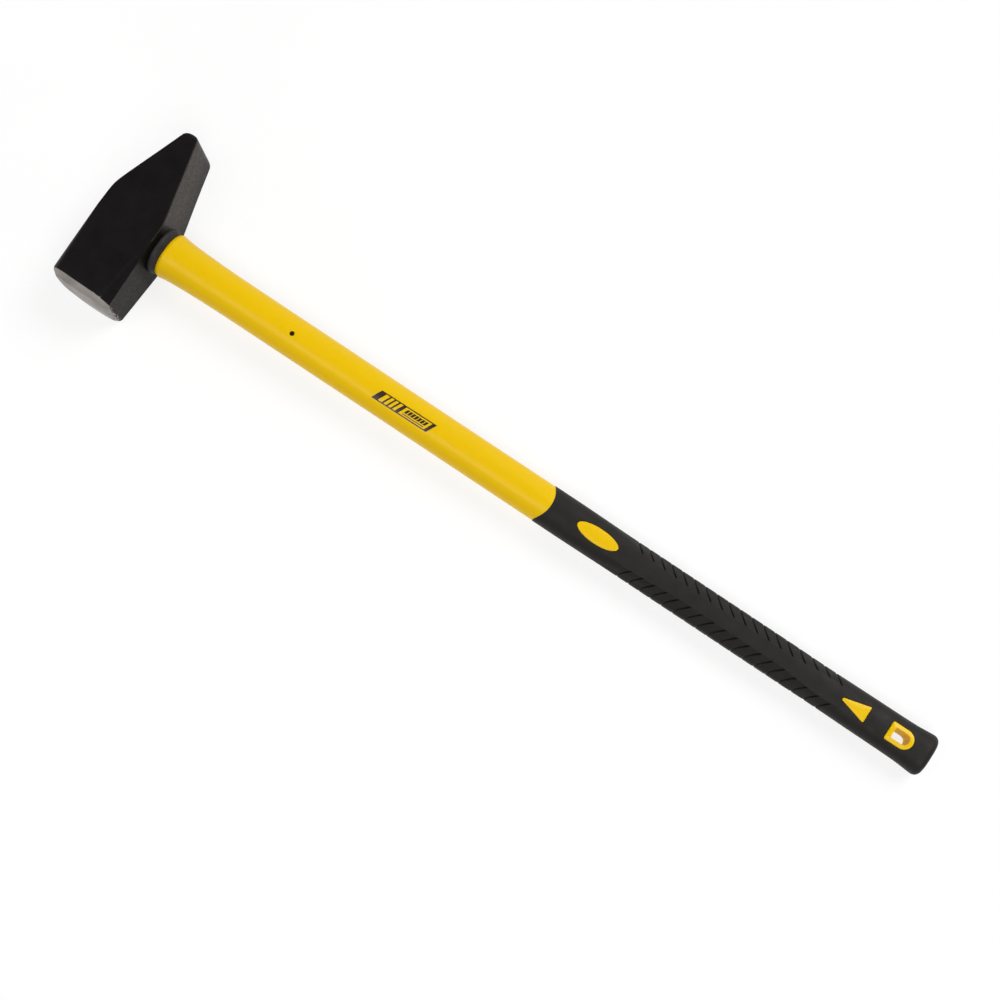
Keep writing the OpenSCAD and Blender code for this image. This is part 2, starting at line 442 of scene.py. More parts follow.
def ramp(tree, source, stops):
    """Colour ramp over a value. stops are (position, grey or colour)."""
    node = add_node(tree, "ValToRGB", [("Fac", source)])
    elements = node.color_ramp.elements
    while len(elements) < len(stops):
        elements.new(0.5)
    for element, (position, colour) in zip(elements, stops):
        element.position = position
        grey = isinstance(colour, (int, float))
        element.color = (colour, colour, colour, 1) if grey else (*colour, 1)
    return node.outputs["Color"]


def math_node(tree, operation, *values):
    """Result of a maths node whose values are sockets or plain numbers."""
    node = add_node(tree, "Math", operation=operation)
    for socket, value in zip(node.inputs, values):
        if isinstance(value, (int, float)):
            socket.default_value = value
        else:
            tree.links.new(value, socket)
    return node.outputs[0]


def noise(tree, scale, detail=3.0, stretch=(1, 1, 1)):
    """Noise value over the object's own coordinates. scale is in features per metre."""
    place = add_node(tree, "TexCoord").outputs["Object"]
    if stretch != (1, 1, 1):
        place = add_node(tree, "Mapping", [("Vector", place)], Scale=stretch).outputs["Vector"]
    node = add_node(tree, "TexNoise", [("Vector", place)], Scale=scale, Detail=detail, Roughness=0.5)
    return node.outputs["Fac"]


def bump(tree, height, distance, normal=None):
    """Normal disturbed by a height, up to a distance in metres, on top of another normal if given."""
    links = [("Height", height)] + ([("Normal", normal)] if normal else [])
    return add_node(tree, "Bump", links, Strength=1.0, Distance=distance).outputs["Normal"]


def mix_colour(tree, factor, first, second):
    """Mix of two colours, each a tuple or a socket, by a value."""
    node = add_node(tree, "Mix", data_type="RGBA")
    tree.links.new(factor, node.inputs[0])
    for index, colour in ((6, first), (7, second)):
        if isinstance(colour, tuple):
            node.inputs[index].default_value = (*colour, 1)
        else:
            tree.links.new(colour, node.inputs[index])
    return node.outputs[2]


def mottle(tree, scale, detail, dark, light, low=0.3, high=0.7):
    """Noise turned into tones between two greys or two colours."""
    return ramp(tree, noise(tree, scale, detail), [(low, dark), (high, light)])


def multiply_colour(tree, first, second):
    """Product of two colours."""
    node = add_node(tree, "Mix", data_type="RGBA", blend_type="MULTIPLY")
    node.inputs[0].default_value = 1.0
    tree.links.new(first, node.inputs[6])
    tree.links.new(second, node.inputs[7])
    return node.outputs[2]


def edge_wear(tree, low, high):
    """Value that rises to 1 along convex edges, broken up by noise."""
    point = add_node(tree, "NewGeometry").outputs["Pointiness"]
    broken = math_node(tree, "MULTIPLY_ADD", noise(tree, 260, 4), 0.06, -0.03)
    return ramp(tree, math_node(tree, "ADD", point, broken), [(low, 0.0), (high, 1.0)])


def new_material(name, **values):
    """Principled material with values on its shader's sockets. Returns it with its node tree."""
    material = bpy.data.materials.new(name)
    material.use_nodes = True
    shader = material.node_tree.nodes["Principled BSDF"]
    for key, value in values.items():
        shader.inputs[key.replace("_", " ")].default_value = value
    return material, material.node_tree


def connect(material, **sources):
    """Links sources to sockets of the material's shader. Returns the material."""
    shader = material.node_tree.nodes["Principled BSDF"]
    for key, source in sources.items():
        material.node_tree.links.new(source, shader.inputs[key.replace("_", " ")])
    return material


def lacquer_material():
    """Black lacquer over forged steel: satin cheeks, duller sides with a painted grey-brown reflection,
    thin lighter edges.
    """
    warm = (1.0, 0.88, 0.81, 1)
    material, tree = new_material("head_lacquer", IOR=1.42, Specular_IOR_Level=0.06, Specular_Tint=warm)
    coordinates = add_node(tree, "TexCoord")
    facing = add_node(tree, "SeparateXYZ", [("Vector", coordinates.outputs["Normal"])])
    place = add_node(tree, "SeparateXYZ", [("Vector", coordinates.outputs["Object"])])
    on_side = ramp(tree, math_node(tree, "ABSOLUTE", facing.outputs["Z"]), [(0.3, 1.0), (0.55, 0.0)])
    cheek = mottle(tree, 55, 5, (0.0085, 0.0075, 0.0081), (0.0118, 0.0104, 0.011), high=0.75)
    # Painted reflection: the sides get a lighter grey-brown base than the cheeks, standing in for the
    # bright floor that the black lacquer reflects there
    side = mottle(tree, 520, 3, (0.026, 0.0222, 0.0195), (0.056, 0.048, 0.0425), 0.35, 0.65)
    # Painted shade: the sides darken towards the bottom, near the floor
    painted_low_shade = ramp(tree, place.outputs["Z"], [(0.0, 0.35), (0.034, 1.0)])
    # Painted shade on the sides: full tone on the peen, less beside the striking face, and nearly black
    # around the handle, where the collar and handle shade them
    along = math_node(tree, "MULTIPLY_ADD", place.outputs["Y"], 10.0, 0.5)
    painted_eye_shade = ramp(tree, along, [(0.15, 0.5), (0.21, 0.12), (0.58, 0.12), (0.68, 1.0)])
    side = multiply_colour(tree, multiply_colour(tree, side, painted_low_shade), painted_eye_shade)
    body = mix_colour(tree, on_side, cheek, side)
    worn = mix_colour(tree, edge_wear(tree, 0.56, 0.66), body, (0.05, 0.046, 0.042))
    # Small chips show bare metal behind the bevel. Their chance falls from the face to CHIP_REACH
    near_face = 1 + FACE_Y / CHIP_REACH
    chance = math_node(tree, "MULTIPLY_ADD", place.outputs["Y"], -1 / (CHIP_REACH * MM), near_face)
    spots = math_node(tree, "MULTIPLY", noise(tree, 620, 3), chance)
    chips = ramp(tree, spots, [(0.29, 0.0), (0.33, 1.0)])
    tint = mix_colour(tree, chips, worn, (0.3, 0.28, 0.265))
    polish = mix_colour(tree, on_side, mottle(tree, 120, 4, 0.25, 0.33), mottle(tree, 300, 5, 0.33, 0.45))
    waves = bump(tree, noise(tree, 28, 2), 0.0006)
    peel = bump(tree, noise(tree, 420, 3), 0.00009, waves)
    return connect(material, Base_Color=tint, Roughness=polish, Normal=peel)


def steel_material():
    """Ground striking face under a thin film of oil: grey-brown steel with fine scratches."""
    material, tree = new_material("face_steel", Metallic=0.4)
    tint = mottle(tree, 45, 5, (0.21, 0.194, 0.182), (0.39, 0.364, 0.347))
    scratches = bump(tree, noise(tree, 700, 2, stretch=(0.06, 1, 1)), 0.00004)
    return connect(material, Base_Color=tint, Roughness=mottle(tree, 160, 5, 0.5, 0.64), Normal=scratches)


def yellow_material(name="yellow_jacket", roughness=(0.27, 0.34), colour=(0.815, 0.515, 0.001)):
    """Moulded yellow polypropylene with slight flow lines and a fine skin."""
    material, tree = new_material(name, IOR=1.45, Specular_IOR_Level=0.25)
    flow = noise(tree, 30, 4, stretch=(0.12, 1, 1))
    darker = tuple(0.95 * channel for channel in colour)
    tint = ramp(tree, flow, [(0.3, darker), (0.7, colour)])
    skin = bump(tree, noise(tree, 900, 2), 0.00002, bump(tree, flow, 0.0002))
    return connect(material, Base_Color=tint, Roughness=mottle(tree, 90, 4, *roughness), Normal=skin)


def rubber_material(name, dark, light, grain=1400):
    """Moulded black rubber with a fine matt grain, and a painted highlight that makes its rib edges
    slightly lighter.
    """
    material, tree = new_material(name, IOR=1.5, Specular_IOR_Level=0.2)
    # Painted highlight: convex rib edges get twice the lighter tone
    edge = tuple(2.0 * channel for channel in light)
    tint = mix_colour(tree, edge_wear(tree, 0.56, 0.68), mottle(tree, 70, 5, dark, light), edge)
    skin = bump(tree, noise(tree, grain, 3), 0.00008)
    return connect(material, Base_Color=tint, Roughness=mottle(tree, 160, 4, 0.48, 0.62), Normal=skin)


def cells(tree, scale):
    """Distance from the middle of each of many small cells over the object's own coordinates."""
    place = add_node(tree, "TexCoord").outputs["Object"]
    return add_node(tree, "TexVoronoi", [("Vector", place)], Scale=scale).outputs["Distance"]


def resin_material():
    """Cast amber epoxy with small bubbles."""
    material, tree = new_material("resin", IOR=1.55, Roughness=0.3)
    tint = mottle(tree, 140, 5, (0.16, 0.11, 0.035), (0.30, 0.23, 0.09))
    dents = ramp(tree, cells(tree, 420.0), [(0.0, 0.0), (0.25, 1.0)])
    return connect(material, Base_Color=tint, Normal=bump(tree, dents, 0.0002))


def fibreglass_material():
    """Sawn end of a pultruded rod: fine dots of glass strand in pale resin."""
    material, tree = new_material("fibreglass", IOR=1.5, Roughness=0.6)
    strands = cells(tree, 900.0)
    tint = ramp(tree, strands, [(0.1, (0.78, 0.72, 0.54)), (0.6, (0.50, 0.43, 0.26))])
    return connect(material, Base_Color=tint, Normal=bump(tree, strands, 0.0001))


def ink_material():
    """Dark print under a clear film, a little uneven."""
    material, tree = new_material("label_ink", IOR=1.5, Roughness=0.34)
    tint = mottle(tree, 600, 4, (0.020, 0.010, 0.008), (0.045, 0.024, 0.016), high=0.75)
    return connect(material, Base_Color=tint, Normal=bump(tree, noise(tree, 500, 3), 0.00003))


LACQUER = lacquer_material()
YELLOW = yellow_material()
FILM = yellow_material("label_film", (0.24, 0.32))
# Painted light: a separate, lighter and more saturated yellow for the wall of the hanging hole, tuned for
# how light falls inside it
HOLE_WALL_PAINTED_LIGHT = yellow_material("hole_wall_painted_light", (0.5, 0.6), (0.90, 0.62, 0.0))
# Painted shade: a near-black brown copy of the yellow for the shaded walls of the pin holes
PIN_HOLE_SHADE = yellow_material("pin_hole_shade", (0.5, 0.6), (0.06, 0.03, 0.006))
STEEL = steel_material()
GRIP_RUBBER = rubber_material("grip_rubber", (0.0115, 0.0102, 0.009), (0.0155, 0.0138, 0.0124))
COLLAR_RUBBER = rubber_material("collar_rubber", (0.012, 0.0108, 0.0106), (0.030, 0.0266, 0.0262), 700)
RESIN = resin_material()
FIBREGLASS = fibreglass_material()
INK = ink_material()


# ---- head

ARC_STEPS, BEVEL_STEPS, FLAT_STEPS = 6, 3, 9    # points along the arcs and straights of a ring


def octagon_ring(y, right, left, half_h, share):
    """Section of the head across its length: a rectangle whose corners are rounded or chamfered.

    share runs from 0, plain rounded corners, to 1, the full chamfer of the striking face.
    """
    edge_r = max(min(EDGE_R, 0.9 * right, 0.9 * left, 0.9 * half_h), 0.001)

    def chamfer(legs, room_on_cheek):
        """Legs, tilt and the two edge radii of one chamfer."""
        tilt = math.atan2(legs[0], legs[1])
        least = edge_r * (math.cos(tilt) + math.sin(tilt) - 1) / math.cos(tilt)
        on_cheek = min(max(share * legs[0], least), room_on_cheek)
        on_side = on_cheek * math.cos(tilt) / math.sin(tilt)
        crease = edge_r + (CREASE_ROUND - edge_r) * share
        room = math.hypot(on_cheek, on_side) - crease * math.tan(tilt / 2)
        soft = edge_r + (CHAMFER_ROUND - edge_r) * share
        soft = min(soft, 0.999 * room / math.tan((math.pi / 2 - tilt) / 2))
        return on_cheek, on_side, tilt, crease, soft

    corners = []
    for k, (side, level) in enumerate(((right, 1), (-left, 1), (-left, -1), (right, -1))):
        legs = CHAMFER_LEGS_WIDE if k == 0 else CHAMFER_LEGS
        on_cheek, on_side, tilt, crease, soft = chamfer(legs, abs(side))
        turn = k * math.pi / 2
        outward = 1 if side > 0 else -1
        at_side = ((side, level * (half_h - on_side)), crease)
        at_cheek = ((side - outward * on_cheek, level * half_h), soft)
        first, second = (at_side, at_cheek) if k % 2 == 0 else (at_cheek, at_side)
        middle = turn + (tilt if k % 2 == 0 else math.pi / 2 - tilt)
        corners.append((first[0], turn, middle, first[1]))
        corners.append((second[0], middle, turn + math.pi / 2, second[1]))
    arcs = []
    for corner, first, second, radius in corners:
        toward = np.array([math.cos(first) + math.cos(second), math.sin(first) + math.sin(second)])
        centre = np.array(corner) - radius * toward / (1 + math.cos(second - first))
        angles = np.linspace(first, second, ARC_STEPS + 1)
        arcs.append(centre + radius * np.stack([np.cos(angles), np.sin(angles)], axis=1))
    points = []
    for k, arc in enumerate(arcs):
        points.extend(arc)
        after = arcs[(k + 1) % 8][0]
        steps = BEVEL_STEPS if k in (0, 2, 4, 6) else FLAT_STEPS
        for t in np.arange(1, steps) / steps:
            points.append(arc[-1] + (after - arc[-1]) * t)
    points = np.array(points)
    return np.column_stack([points[:, 0], np.full(len(points), y), AXIS_Z + points[:, 1]])


def soft_minimum(a, b, blend):
    """Smaller of two values, with a rounded change from one to the other."""
    return min(a, b) - blend * math.log(1 + math.exp(-abs(a - b) / blend))


def side_distance(y, taper_y):
    """Half-width on one side of the line that leads into the nose, before its shift."""
    nose_y = NOSE_Y - NOSE_R
    taper = math.atan2(HALF_W - NOSE_R, nose_y - taper_y)
    leave_y = nose_y + NOSE_R * math.sin(taper)
    if y > leave_y:
        return math.sqrt(max(NOSE_R**2 - (y - nose_y) ** 2, 0))
    at_leave = NOSE_R * math.cos(taper)
    wedge = at_leave + (leave_y - y) * math.tan(taper)
    return soft_minimum(HALF_W, wedge, SHOULDER_BLEND)


def head_section(y):
    """Ring of the head at one place along its length."""
    right = side_distance(y, TAPER_Y_HANDLE)
    left = side_distance(y, TAPER_Y_TOP)
    into_corner = max(y - (NOSE_Y - NOSE_CORNER), 0)
    half_h = HALF_H - NOSE_CORNER + math.sqrt(max(NOSE_CORNER**2 - into_corner**2, 0))
    share = max((CHAMFER_END_Y - y) / (CHAMFER_END_Y - FACE_Y), 0)
    ring = octagon_ring(y, right, left, half_h, share)
    ring[:, 0] += NOSE_X * float(smoothstep(TAPER_Y_TOP, NOSE_Y, y))
    draft = PEEN_DRAFT * float(smoothstep(*PEEN_DRAFT_Y, y))
    ring[:, 0] -= draft * (2 * HALF_H - ring[:, 2]) * np.clip(ring[:, 0] / NOSE_R, 0, 1)
    return ring


def bevel_lean(ring):
    """How much deeper than average the hand-ground bevel is at each point of a ring."""
    room = 1 - BEVEL_CORNER_X
    corner = np.clip(ring[:, 0] / HALF_W - BEVEL_CORNER_X, 0, room) / room
    corner *= np.clip(1 - ring[:, 2] / BEVEL_CORNER_Z, 0, 1)
    return BEVEL_LEAN_X * ring[:, 0] + BEVEL_LEAN_Z * (ring[:, 2] - AXIS_Z) + BEVEL_CORNER * corner


def crown_sag(distance):
    """How far the crowned face falls back at a distance from its middle."""
    return CROWN_R - np.sqrt(CROWN_R**2 - distance**2)


def inward_from(ring):
    """Unit vectors across the head's length, from each point of a ring towards its middle."""
    inward = np.array([0, 0, AXIS_Z]) - ring
    inward[:, 1] = 0
    return inward / np.linalg.norm(inward, axis=1)[:, None]


def face_rings():
    """Rings of the crowned striking face and of the soft edge between it and its bevel."""
    edge = head_section(FACE_Y)
    middle = np.array([0, FACE_Y, AXIS_Z])
    depth = (FACE_BEVEL + bevel_lean(edge))[:, None]
    inward = inward_from(edge)
    rim = edge + inward * depth * BEVEL_RUN
    shares = (0.001, 0.15, 0.3, 0.45, 0.6, 0.75, 0.88, 0.96)
    rings = [middle + (rim - middle) * share for share in shares]
    for t in np.linspace(0, 1, 5):
        across = inward * RIM_SOFT * ((1 - t) ** 2 - 0.7 * t**2)
        rings.append(rim + across + np.array([0, RIM_SOFT * 0.7 * t**2, 0]))
    for ring in rings:
        lateral = np.linalg.norm(ring[:, [0, 2]] - middle[[0, 2]], axis=1)
        ring[:, 1] += crown_sag(lateral)
    return rings


def paint_steel(head, limit_y):
    """Bare steel on the striking face and its bevel, but for the lower corner, which is lacquered."""
    head.data.materials.append(STEEL)
    for polygon in head.data.polygons:
        paint_line = (PAINT_X + PAINT_SLOPE * polygon.center.z / MM) * MM
        lacquered = polygon.normal.x > 0.35 and polygon.center.x > paint_line
        faces_out = polygon.normal.y < -0.4
        if polygon.center.y < limit_y * MM and faces_out and not lacquered:
            polygon.material_index = 1


def build_head():
    """Head with a crowned face, ground bevel, chamfered body, rounded peen and the eye cut through."""
    rings = face_rings()
    bevel_end = FACE_Y + FACE_BEVEL + crown_sag(HALF_W - FACE_BEVEL)
    for t in np.linspace(0, 1, 7):
        ring = head_section(bevel_end + BODY_SOFT * t**2)
        pull = BODY_SOFT * 0.8 * (1 - t) ** 2
        lean = bevel_lean(ring)
        ring = ring + inward_from(ring) * pull
        ring[:, 1] += lean - pull
        if t == 0:
            rim = rings[-1]
            rings += [rim + (ring - rim) * share for share in (0.25, 0.5, 0.75)]
        rings.append(ring)
    for y in np.linspace(bevel_end + BODY_SOFT + 1.5, NOSE_Y - NOSE_R, 90):
        ring = head_section(y)
        fade = 1 - float(smoothstep(bevel_end, bevel_end + BEVEL_LEAN_FADE, y))
        ring[:, 1] += bevel_lean(ring) * fade
        rings.append(ring)
    for angle in np.radians([8, 17, 26, 35, 44, 53, 61, 69, 76, 82, 87, 90]):
        rings.append(head_section(NOSE_Y - NOSE_R + NOSE_R * np.sin(angle)))
    head = new_object("head_forging", *loft(rings), LACQUER)
    cut(head, tool_from(eye_rings()))
    paint_steel(head, bevel_end + STEEL_REACH)
    show(head, "head_lacquer", "head", sharp=38)


def eye_rings():
    """Sections of the eye, with a chamfer at both mouths."""
    angles = full_turn(96)
    inner = HALF_W - EYE_CHAMFER
    places = [(x, 0) for x in (-inner, -18, EYE[1][0], 14, inner)]
    mouth = EYE_CHAMFER + 1
    rings = []
    for x, extra in [(-HALF_W - 1, mouth), *places, (HALF_W + 1, mouth)]:
        width, thick = eye_size(x)
        rings.append(oval_ring(x, width + 2 * extra, thick + 2 * extra, angles))
    return rings


# ---- collar, jacket, marks

def build_collar():
    """Black sealing ring: a soft flange between head and jacket, and a spigot inside the eye."""
    spigot_w, spigot_t = eye_size(collar_lo[0])
    wide, tall = collar_hi[1] - collar_lo[1], collar_hi[2] - collar_lo[2]
    # Position along the handle, and how much narrower and thinner than the flange the ring is there
    profile = [
        (HALF_W, 3.2, 3.2),
        (HALF_W + 0.4, 1.6, 1.6),
        (HALF_W + 0.9, 0.6, 0.6),
        (HALF_W + 1.6, 0, 0),
        (HALF_W + 2.8, 0.1, 0.2),
        (HALF_W + 4.0, 0.9, 1.5),
        (HALF_W + 5.2, 2.3, 3.6),
        (HALF_W + 6.2, 3.6, 5.6),
        (HALF_W + 7.1, 4.8, 7.2),
        (LIP_X - 0.3, 5.6, 8.4),
        (LIP_X, 6.4, 9.2),
    ]
    rings = [oval_ring(x, wide - less_w, tall - less_t) for x, less_w, less_t in profile]
    # Down the bore, a hair wider than the rod, and back up the outside of the spigot
    inner_w, inner_t = CORE_W + 0.1, CORE_T + 0.1
    inside = [
        (LIP_X, inner_w, inner_t),
        (collar_lo[0], inner_w, inner_t),
        (collar_lo[0], spigot_w - 0.4, spigot_t - 0.4),
        (HALF_W, spigot_w, spigot_t),
    ]
    rings += [oval_ring(x, width, thick) for x, width, thick in inside]
    collar = new_object("collar_ring", *loft(rings, closed=True), COLLAR_RUBBER)
    show(collar, "collar_rubber", "eye_collar")


def grip_top(points):
    """Height above the axis of the grip's skin over points in plan."""
    return surface_height(grip_size, points[:, 0], points[:, 1])


def soft_edge(outline, soft):
    """Outlines and drops that round the upper edge of a wall, which falls in for a negative soft."""
    size = abs(soft)
    angles = np.radians([0, 22, 45, 67, 90])
    return [(grow_outline(outline, soft * (1 - math.cos(a))), size * (1 - math.sin(a))) for a in angles]


def mark_rings(outline, side):
    """Rings of one raised mark: from inside the jacket up its wall, over a soft edge, to its centre."""
    path = [(outline, 1.5 * MARK_SOFT), *soft_edge(outline, -MARK_SOFT)]
    inner = grow_outline(outline, -MARK_SOFT)
    centre = inner.mean(axis=0)
    path += [(centre + (inner - centre) * share, 0) for share in (0.85, 0.65, 0.45, 0.25, 0.08)]
    rings = [at_height(points, AXIS_Z + side * (grip_top(points) - drop)) for points, drop in path]
    return [at_height(outline, AXIS_Z + side * MARK_FLOOR), *rings]


def d_ring_rings():
    """Closed loop of rings around the D ring: outer wall, both rims and the hole's wall."""
    path = soft_edge(ring_outline(), -RING_SOFT)
    inner_edge, outer_edge = grow_outline(hole_outline(), RING_SOFT), path[-1][0]
    path += [(outer_edge + (inner_edge - outer_edge) * share, 0.0) for share in (0.33, 0.67)]
    path += soft_edge(hole_outline(), RING_SOFT)[::-1]
    rings = []
    for side, steps in ((1, path), (-1, path[::-1])):
        for points, drop in steps:
            rings.append(at_height(points, AXIS_Z + side * (grip_top(points) + RING_PROUD - drop)))
    return rings


def pin_hole(side):
    """Tool for one blind locating-pin hole, with a small chamfer at its mouth."""
    angles = full_turn(32)
    steps = [
        (CORE_T / 2 + PIN_FLOOR, PIN_R),
        (PIN_SURFACE - 0.5, PIN_R),
        (PIN_SURFACE + 0.5, PIN_R + 1.0),
    ]
    rings = []
    for height, radius in steps:
        circle = np.column_stack([PIN_X + radius * np.cos(angles), radius * np.sin(angles)])
        rings.append(at_height(circle, AXIS_Z + side * height))
    return tool_from(rings)


def paint_holes(jacket):
    """Gives the walls of the hanging hole and the pin holes their own materials: a painted-light yellow in
    the hanging hole and painted shade, a near-black brown, in the pin holes.
    """
    jacket.data.materials.append(HOLE_WALL_PAINTED_LIGHT)
    jacket.data.materials.append(PIN_HOLE_SHADE)
    near = 0.2
    hole_start, hole_stop = RING_X + RING_RIM - near, RING_X + RING_RUN + HOLE_R + near
    for polygon in jacket.data.polygons:
        x, y, z = polygon.center / MM
        if hole_start < x < hole_stop and abs(y) < HOLE_R + near and abs(polygon.normal.z) < 0.5:
            polygon.material_index = 1
        if math.hypot(x - PIN_X, y) < PIN_R + near and abs(z - AXIS_Z) < SHAFT_T / 2 - 0.1:
            polygon.material_index = 2


def build_jacket():
    """Yellow moulding: shaft, the part under the rubber, and the marks that come up through the rubber."""
    wide, thick = RUBBER_INNER
    rings = [oval_ring(x, CORE_W, CORE_T) for x in (core_hi[0], GRIP_X, LIP_X)]
    lip_w, lip_t = shaft_size(LIP_X + LIP_ROUND)
    for angle in np.radians([0, 15, 30, 45, 60, 75, 90]):
        x = LIP_X + LIP_ROUND * (1 - math.cos(angle))
        drop = 2 * LIP_DROP * (1 - math.sin(angle))
        rings.append(oval_ring(x, lip_w - drop, lip_t - drop))
    flare, straight = np.arange(LIP_X + 6, LIP_X + 90, 4), np.arange(LIP_X + 95, GRIP_X - 6, 12)
    for x in np.concatenate([flare, straight]):
        rings.append(oval_ring(x, *shaft_size(x)))
    for x in (GRIP_X - 3, GRIP_X + 0.6):
        rings.append(oval_ring(x, *shaft_size(GRIP_X), bow=GRIP_BOW))
    rings.append(oval_ring(UNDER_X, wide, thick, bow=GRIP_BOW))
    end = END_X - END_CAP
    for x, grow in ((GRIP_X + 30, 0), (END_X - 100, 0), (END_X - 20, 1.2), (end - 2, 1.2), (end, -2)):
        rings.append(oval_ring(x, wide + grow, thick + grow))
    jacket = new_object("jacket_moulding", *loft(rings), YELLOW)

    for side in (1, -1):
        for outline in (oval_outline(), triangle_outline()):
            cut(jacket, tool_from(mark_rings(outline, side)), "UNION")
        cut(jacket, pin_hole(side))
    cut(jacket, through_tool(grow_outline(hole_outline(), 2.0)))
    cut(jacket, tool_from(d_ring_rings(), closed=True), "UNION")
    paint_holes(jacket)
    show(jacket, "yellow_jacket", "handle_jacket", sharp=35)


# ---- grip

def quarter_angles():
    """Angle of the oval at equal shares of its length from the crest to the side, as a function."""
    angles = np.linspace(0, math.pi / 2, 400)
    ring = oval_ring(0, SHAFT_W - 1, SHAFT_T - 0.3, math.pi / 2 - angles)
    steps = np.linalg.norm(np.diff(ring, axis=0), axis=1)
    length = np.concatenate([[0], np.cumsum(steps)])
    return lambda share: np.interp(share * length[-1], length, angles)


angle_at = quarter_angles()


def within(stretch, u):
    """1 in a stretch of the grip, 0 outside it, with smooth ends."""
    rise, fall = stretch
    risen = smoothstep(GRIP_X + rise[0], GRIP_X + rise[1], u)
    return risen * (1 - smoothstep(END_X - fall[0], END_X - fall[1], u))


def spine_half(u):
    """Half-width of the smooth spine: wide beside the oval and the triangle, narrow between."""
    return SPINE_WIDE - (SPINE_WIDE - SPINE_HALF) * within(NARROW_SPINE, u)


def groove_profile(u):
    """Depth share of the grooves along the spine line, from 0 on a rib to 1 in a groove."""
    nearest = np.clip(np.round((u - GROOVE_FIRST_X) / GROOVE_PITCH), 0, GROOVE_COUNT - 1)
    offset = u - GROOVE_FIRST_X - nearest * GROOVE_PITCH
    return np.clip(np.where(offset > 0, 1 - offset / GROOVE_STEEP, 1 + offset / GROOVE_GENTLE), 0, 1)


def grip_ring(u, spine_steps, panel_steps):
    """Ring of the grip's outer skin. In the grooved stretch it follows the chevrons."""
    spine = float(spine_half(u))
    around = np.concatenate([spine * spine_steps, spine + (QUARTER - spine) * panel_steps])
    angle = angle_at(around / QUARTER)
    out = np.maximum(around - spine, 0)
    bowed = 1 - smoothstep(GRIP_X + GRIP_BOW, GRIP_X + BOW_END, u)
    reach_y = SHAFT_W / 2 * signed_power(np.sin(angle))
    chevron = GROOVE_SLANT * np.maximum(reach_y - spine, 0)
    x = u - GRIP_BOW * bowed * np.sin(angle) ** 2 - within(SHEARED, u) * chevron
    step = -SPINE_STEP * np.minimum(around / spine, 1) ** 2 * (1 - smoothstep(0, SPINE_EDGE, out))
    dip = PANEL_DIP * np.tanh(out / PANEL_RUN) * (1 - smoothstep(*PANEL_END, out))
    left = 1.0
    for low, high, share in GROOVE_FADE:
        left = left - share * smoothstep(low, high, out)
    cut_in = smoothstep(*GROOVE_START, out) * left
    ends = smoothstep(0, 1, (u - GROOVE_FIRST_X) / GROOVE_PITCH + 1)
    depth = within(RIDGED, u) * (step + dip) + GROOVE_DEPTH * groove_profile(u) * cut_in * ends
    width, thick = np.moveaxis(grip_size(x), -1, 0)
    y = width / 2 * signed_power(np.sin(angle))
    z = thick / 2 * signed_power(np.cos(angle))
    normal = np.stack([y / width**2, z / thick**2])
    normal /= np.linalg.norm(normal, axis=0)
    y, z = y - depth * normal[0], z - depth * normal[1]
    quarter = np.stack([x, y, z], axis=1)
    below, opposite = quarter * [1, 1, -1], quarter * [1, -1, 1]
    ring = np.concatenate([quarter, below[-2::-1], (below * [1, -1, 1])[1:], opposite[-2:0:-1]])
    return ring + np.array([0, 0, AXIS_Z])


def grip_positions():
    """Places of the rings along the spine, close together where a groove is cut."""
    start, stop = GRIP_X + GRIP_BOW, END_X - END_ROUND
    places = list(np.arange(start + 3, GROOVE_FIRST_X - 8, 3.0))
    gentle_wall = (-4.5, -3.0, -2.0, -1.6, -1.2, -0.8, -0.4, 0.0)
    steep_wall = (0.25, 0.5, 0.7, 1.0, 1.8, 3.2, 4.9)
    for k in range(-1, GROOVE_COUNT + 1):
        middle = GROOVE_FIRST_X + k * GROOVE_PITCH
        places += [middle + offset for offset in gentle_wall + steep_wall]
    places += list(np.arange(places[-1] + 2, stop - 1, 2.5))
    return np.unique(np.round([p for p in places if start < p < stop], 3))


def build_grip():
    """Black rubber grip with chevron grooves on both sides and windows for the yellow marks."""
    spine_steps = np.linspace(0, 1, 9)
    panel_steps = np.concatenate([[0.015, 0.03, 0.045, 0.065, 0.09], np.linspace(0.12, 1, 24)])
    places = [GRIP_X + GRIP_BOW, *grip_positions(), END_X - END_ROUND]
    rings = [grip_ring(u, spine_steps, panel_steps) for u in places]
    last = rings[-1]
    centre = np.array([0, 0, AXIS_Z])
    radial = (last - centre) * np.array([0, 1, 1])
    reach = np.linalg.norm(radial, axis=1)[:, None]
    for angle in np.radians([12, 24, 36, 48, 60, 70, 80, 90]):
        ring = last - radial / reach * END_ROUND * (1 - math.cos(angle))
        ring[:, 0] = END_X - END_ROUND + END_ROUND * math.sin(angle)
        rings.append(ring)
    end = np.array([END_X, 0, AXIS_Z])
    flat = rings[-1] - end
    rings += [flat * [1, share, share] + end for share in (0.75, 0.5, 0.25)]

    wide, thick = RUBBER_INNER
    angles = np.arctan2(rings[0][:, 2] - AXIS_Z, rings[0][:, 1])
    inner = [oval_ring(END_X - END_CAP, wide - 2, thick - 2, angles)]
    inner += [oval_ring(x, wide, thick, angles) for x in (END_X - END_CAP - 2, GRIP_X + 30)]
    inner.append(oval_ring(UNDER_X, wide, thick, angles, GRIP_BOW))
    inner.append(oval_ring(GRIP_X, SHAFT_W - 1.2, SHAFT_T - 1.0, angles, GRIP_BOW))
    grip = new_object("grip_rubber", *loft(inner + rings), GRIP_RUBBER)
    for outline in (oval_outline(), triangle_outline(), ring_outline()):
        cut(grip, through_tool(grow_outline(outline, MARK_GAP)))
    show(grip, "grip_rubber", "grip_sleeve", sharp=50)


# ---- label

